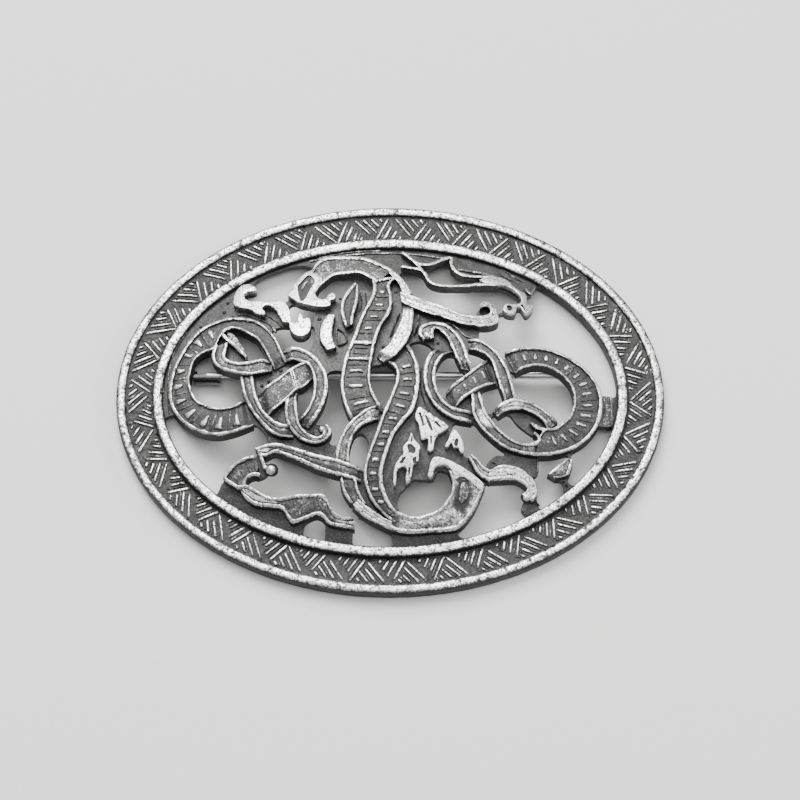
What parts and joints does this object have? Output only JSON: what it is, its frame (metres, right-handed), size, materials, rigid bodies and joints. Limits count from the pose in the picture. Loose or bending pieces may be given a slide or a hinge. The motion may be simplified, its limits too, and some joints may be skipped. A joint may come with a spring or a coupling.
{
  "type": "openwork oval brooch",
  "caption": "Domed oval openwork brooch with interlaced beasts, hatched border, hinged pin and turning catch.",
  "frame": {"origin": "centre of the oval, on the plane that the brooch's back edge rests on", "axes": "+X along the long axis towards the hinge of the pin, +Y across the oval towards the upper edge of the front view, +Z out of the face"},
  "size_m": [0.058, 0.0434, 0.0072],
  "materials": {
    "cast_pewter": "oxidised in the recesses, polished on the raised edges",
    "pin_steel": "drawn wire, bright",
    "catch_metal": "dull nickel"
  },
  "bodies": {
    "brooch": {"cast_plate": "cast_pewter", "hinge_rivet": "pin_steel"},
    "pin": {"pin_stem": "pin_steel"},
    "catch": {"catch_barrel": "catch_metal"}
  },
  "joints": [
    {"name": "pin_hinge", "type": "hinge", "parent": "brooch", "child": "pin", "pos_m": [0.01896, 0.00256, 0.00125], "axis": [0, -1, 0], "range_deg": [0, 110]},
    {"name": "catch_turn", "type": "hinge", "parent": "brooch", "child": "catch", "pos_m": [-0.0208, 0.00236, 0.00125], "axis": [1, 0, 0], "range_deg": [0, 120]}
  ]
}
